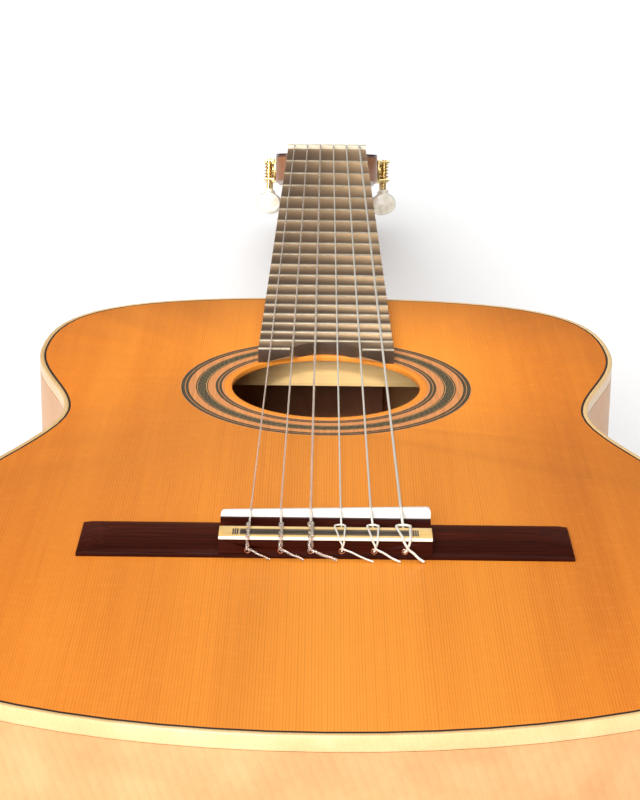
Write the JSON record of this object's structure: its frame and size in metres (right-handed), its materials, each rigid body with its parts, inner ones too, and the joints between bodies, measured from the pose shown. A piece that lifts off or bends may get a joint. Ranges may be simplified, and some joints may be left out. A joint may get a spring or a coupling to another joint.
{
  "type": "classical guitar",
  "caption": "Nylon-string classical guitar: fan-braced cedar top, round soundhole with rosette, tie bridge, slotted tilted headstock with worm-and-gear tuning machines.",
  "frame": {"origin": "back's outer face, straight under the middle of the soundhole", "axes": "+X towards the bass strings' side, +Y along the neck towards the headstock, +Z out of the soundboard"},
  "size_m": [0.366, 0.9944, 0.1097],
  "materials": {
    "cedar_top": "satin lacquer over straight-grained cedar",
    "rosette_wood": "satin lacquer over inlaid rings",
    "back_wood": "gloss lacquer",
    "rib_wood": "satin lacquer",
    "inner_spruce": "raw, sanded",
    "neck_wood": "satin lacquer",
    "rosewood": "oiled, open-pored",
    "fingerboard_wood": "oiled, polished by play",
    "light_binding": "satin lacquer",
    "dark_purfling": "satin lacquer",
    "bone": "polished bone",
    "fret_metal": "polished nickel silver",
    "brass": "polished",
    "nylon": "clear, smooth",
    "wound_string": "silver-plated wire winding",
    "button_plastic": "pearl-like",
    "roller_plastic": "polished"
  },
  "bodies": {
    "guitar": {"soundboard": "cedar_top", "rosette": "rosette_wood", "back_bass_half": "back_wood", "back_treble_half": "back_wood", "back_center_inlay": "light_binding", "rib_bass": "rib_wood", "rib_treble": "rib_wood", "top_linings": "inner_spruce", "back_linings": "inner_spruce", "fan_braces": "inner_spruce", "harmonic_bars": "inner_spruce", "back_braces": "inner_spruce", "tail_block": "neck_wood", "top_purfling": "dark_purfling", "top_binding": "light_binding", "back_binding": "light_binding", "neck": "neck_wood", "heel_cap": "rosewood", "headstock": "neck_wood", "head_veneer": "rosewood", "fingerboard": "fingerboard_wood", "frets": "fret_metal", "nut": "bone", "bridge": "rosewood", "tie_block_bone": "bone", "tie_block_mosaic": "dark_purfling", "saddle": "bone", "tuner_plate_bass": "brass", "tuner_plate_treble": "brass", "plate_screws": "brass", "string_1": "nylon", "string_2": "nylon", "string_3": "nylon", "string_4": "wound_string", "string_5": "wound_string", "string_6": "wound_string"},
    "tuner_1": {"worm_1": "brass", "button_1": "button_plastic"},
    "post_1": {"roller_1": "roller_plastic", "gear_1": "brass"},
    "tuner_2": {"worm_2": "brass", "button_2": "button_plastic"},
    "post_2": {"roller_2": "roller_plastic", "gear_2": "brass"},
    "tuner_3": {"worm_3": "brass", "button_3": "button_plastic"},
    "post_3": {"roller_3": "roller_plastic", "gear_3": "brass"},
    "tuner_4": {"worm_4": "brass", "button_4": "button_plastic"},
    "post_4": {"roller_4": "roller_plastic", "gear_4": "brass"},
    "tuner_5": {"worm_5": "brass", "button_5": "button_plastic"},
    "post_5": {"roller_5": "roller_plastic", "gear_5": "brass"},
    "tuner_6": {"worm_6": "brass", "button_6": "button_plastic"},
    "post_6": {"roller_6": "roller_plastic", "gear_6": "brass"}
  },
  "joints": [
    {"name": "button_spin_1", "type": "hinge", "parent": "guitar", "child": "tuner_1", "pos_m": [-0.0398, 0.5114, 0.07743], "axis": [0, 0.2588, 0.9659], "continuous": true},
    {"name": "button_spin_2", "type": "hinge", "parent": "guitar", "child": "tuner_2", "pos_m": [-0.0398, 0.54521, 0.06837], "axis": [0, 0.2588, 0.9659], "continuous": true},
    {"name": "button_spin_3", "type": "hinge", "parent": "guitar", "child": "tuner_3", "pos_m": [-0.0398, 0.57901, 0.05931], "axis": [0, 0.2588, 0.9659], "continuous": true},
    {"name": "button_spin_4", "type": "hinge", "parent": "guitar", "child": "tuner_4", "pos_m": [0.0398, 0.57901, 0.05931], "axis": [0, 0.2588, 0.9659], "continuous": true},
    {"name": "button_spin_5", "type": "hinge", "parent": "guitar", "child": "tuner_5", "pos_m": [0.0398, 0.54521, 0.06837], "axis": [0, 0.2588, 0.9659], "continuous": true},
    {"name": "button_spin_6", "type": "hinge", "parent": "guitar", "child": "tuner_6", "pos_m": [0.0398, 0.5114, 0.07743], "axis": [0, 0.2588, 0.9659], "continuous": true},
    {"name": "roller_spin_1", "type": "hinge", "parent": "guitar", "child": "post_1", "pos_m": [-0.0185, 0.51923, 0.07533], "axis": [1, 0, 0], "continuous": true},
    {"name": "roller_spin_2", "type": "hinge", "parent": "guitar", "child": "post_2", "pos_m": [-0.0185, 0.55303, 0.06627], "axis": [1, 0, 0], "continuous": true},
    {"name": "roller_spin_3", "type": "hinge", "parent": "guitar", "child": "post_3", "pos_m": [-0.0185, 0.58684, 0.05721], "axis": [1, 0, 0], "continuous": true},
    {"name": "roller_spin_4", "type": "hinge", "parent": "guitar", "child": "post_4", "pos_m": [0.0185, 0.58684, 0.05721], "axis": [1, 0, 0], "continuous": true},
    {"name": "roller_spin_5", "type": "hinge", "parent": "guitar", "child": "post_5", "pos_m": [0.0185, 0.55303, 0.06627], "axis": [1, 0, 0], "continuous": true},
    {"name": "roller_spin_6", "type": "hinge", "parent": "guitar", "child": "post_6", "pos_m": [0.0185, 0.51923, 0.07533], "axis": [1, 0, 0], "continuous": true}
  ],
  "couplings": [
    {"joint": "roller_spin_1", "follows": "button_spin_1", "ratio": 0.0625},
    {"joint": "roller_spin_2", "follows": "button_spin_2", "ratio": 0.0625},
    {"joint": "roller_spin_3", "follows": "button_spin_3", "ratio": 0.0625},
    {"joint": "roller_spin_4", "follows": "button_spin_4", "ratio": 0.0625},
    {"joint": "roller_spin_5", "follows": "button_spin_5", "ratio": 0.0625},
    {"joint": "roller_spin_6", "follows": "button_spin_6", "ratio": 0.0625}
  ]
}
